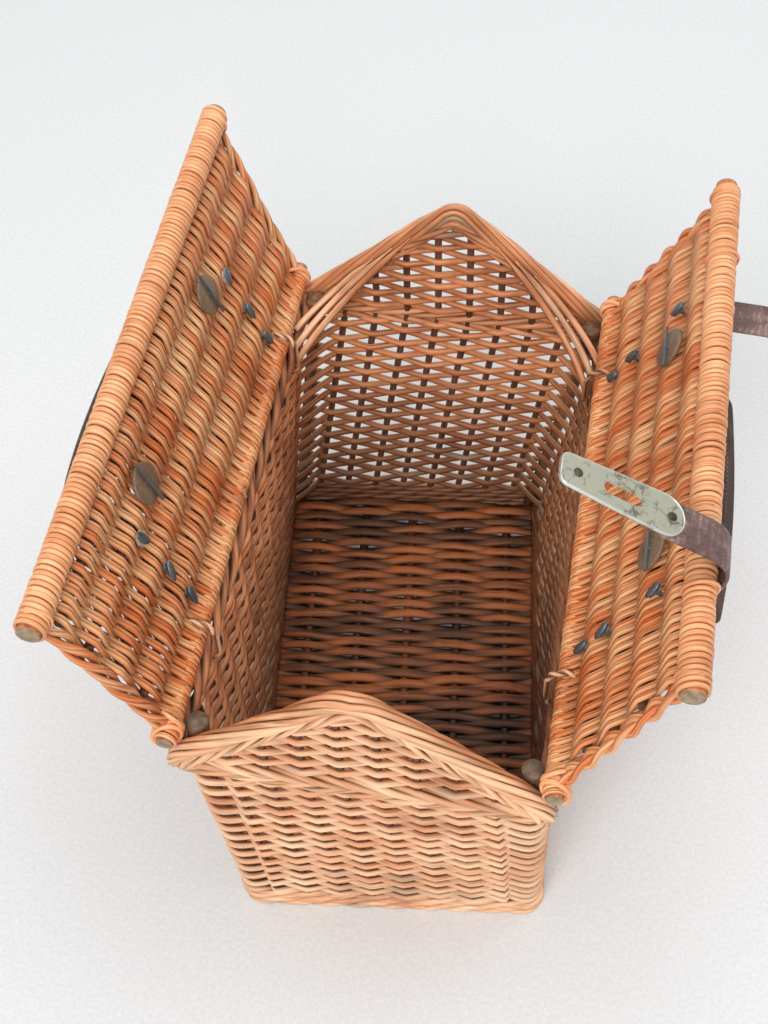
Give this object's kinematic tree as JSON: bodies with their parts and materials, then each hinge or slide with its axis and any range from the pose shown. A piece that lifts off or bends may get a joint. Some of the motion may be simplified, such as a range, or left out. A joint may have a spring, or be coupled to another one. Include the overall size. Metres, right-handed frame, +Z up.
{
  "type": "wicker lunch basket",
  "caption": "Gable-ended willow basket with two hinged lids, leather grips and leather hasp straps that fold over the ridge onto turning staples.",
  "frame": {"origin": "on the table, under the middle of the ridge", "axes": "+Z up, +Y along the ridge to the rear gable, +X across to the lid that carries the hasp straps"},
  "size_m": [0.4449, 0.364, 0.3835],
  "materials": {
    "willow": "satin aged willow",
    "lid_willow": "satin darkened willow",
    "floor_willow": "worn dark willow",
    "grip_leather": "waxed dark leather",
    "strap_leather": "worn purplish brown leather",
    "nickel": "dull nickel plate",
    "pin_steel": "tarnished steel"
  },
  "bodies": {
    "basket": {"floor_weave": "floor_willow", "floor_sticks": "floor_willow", "foot_wale": "willow", "front_wall_weave": "willow", "rear_wall_weave": "willow", "left_wall_weave": "willow", "right_wall_weave": "willow", "front_stakes": "willow", "rear_stakes": "willow", "left_stakes": "willow", "right_stakes": "willow", "corner_posts": "willow", "front_eave_wale": "willow", "rear_eave_wale": "willow", "front_gable_weave": "willow", "rear_gable_weave": "willow", "front_gable_border": "willow", "rear_gable_border": "willow", "left_top_border": "willow", "right_top_border": "willow", "left_hinge_loops": "willow", "right_hinge_loops": "willow"},
    "left_lid": {"left_lid_weave": "lid_willow", "left_lid_sticks": "lid_willow", "left_hinge_rod": "lid_willow", "left_outer_rod": "lid_willow", "left_lid_front_edge": "lid_willow", "left_lid_rear_edge": "lid_willow", "left_handle_eyes": "pin_steel", "left_handle_washers": "strap_leather", "left_straps": "strap_leather", "left_strap_pins": "pin_steel", "staple_plates": "nickel"},
    "right_lid": {"right_lid_weave": "lid_willow", "right_lid_sticks": "lid_willow", "right_hinge_rod": "lid_willow", "right_outer_rod": "lid_willow", "right_lid_front_edge": "lid_willow", "right_lid_rear_edge": "lid_willow", "right_handle_eyes": "pin_steel", "right_handle_washers": "strap_leather", "right_strap_bases": "strap_leather", "right_strap_pins": "pin_steel"},
    "left_grip": {"left_handle": "grip_leather"},
    "right_grip": {"right_handle": "grip_leather"},
    "front_link": {"front_strap_link": "strap_leather"},
    "rear_link": {"rear_strap_link": "strap_leather"},
    "front_tail": {"front_strap_tail": "strap_leather", "front_hasp": "nickel", "front_hasp_rivets": "nickel"},
    "rear_tail": {"rear_strap_tail": "strap_leather", "rear_hasp": "nickel", "rear_hasp_rivets": "nickel"},
    "front_staple": {"front_turn_staple": "nickel"},
    "rear_staple": {"rear_turn_staple": "nickel"}
  },
  "joints": [
    {"name": "left_lid_hinge", "type": "hinge", "parent": "basket", "child": "left_lid", "pos_m": [-0.1, 0, 0.213], "axis": [0, 1, 0], "range_deg": [-83, 71.69]},
    {"name": "right_lid_hinge", "type": "hinge", "parent": "basket", "child": "right_lid", "pos_m": [0.1, 0, 0.213], "axis": [0, -1, 0], "range_deg": [-78.5, 76.19]},
    {"name": "left_handle_swing", "type": "hinge", "parent": "left_lid", "child": "left_grip", "pos_m": [-0.14444, 0, 0.28456], "axis": [0, 1, 0], "range_deg": [-53, 97]},
    {"name": "right_handle_swing", "type": "hinge", "parent": "right_lid", "child": "right_grip", "pos_m": [0.14992, 0, 0.28085], "axis": [0, -1, 0], "range_deg": [-37.5, 112.5]},
    {"name": "front_strap_root", "type": "hinge", "parent": "right_lid", "child": "front_link", "pos_m": [0.14865, -0.094, 0.29713], "axis": [0, -1, 0], "range_deg": [-80, 0]},
    {"name": "front_strap_fold", "type": "hinge", "parent": "front_link", "child": "front_tail", "pos_m": [0.17062, -0.094, 0.33334], "axis": [0, 1, 0], "range_deg": [-2, 148]},
    {"name": "rear_strap_root", "type": "hinge", "parent": "right_lid", "child": "rear_link", "pos_m": [0.14865, 0.092, 0.29713], "axis": [0, -1, 0], "range_deg": [-14, 66]},
    {"name": "rear_strap_fold", "type": "hinge", "parent": "rear_link", "child": "rear_tail", "pos_m": [0.19067, 0.092, 0.29179], "axis": [0, -1, 0], "range_deg": [-15, 125.63]},
    {"name": "front_staple_turn", "type": "hinge", "parent": "left_lid", "child": "front_staple", "pos_m": [-0.12705, -0.094, 0.27995], "axis": [-0.9272, 0, -0.3746], "range_deg": [0, 90]},
    {"name": "rear_staple_turn", "type": "hinge", "parent": "left_lid", "child": "rear_staple", "pos_m": [-0.12705, 0.092, 0.27995], "axis": [-0.9272, 0, -0.3746], "range_deg": [0, 90]}
  ]
}
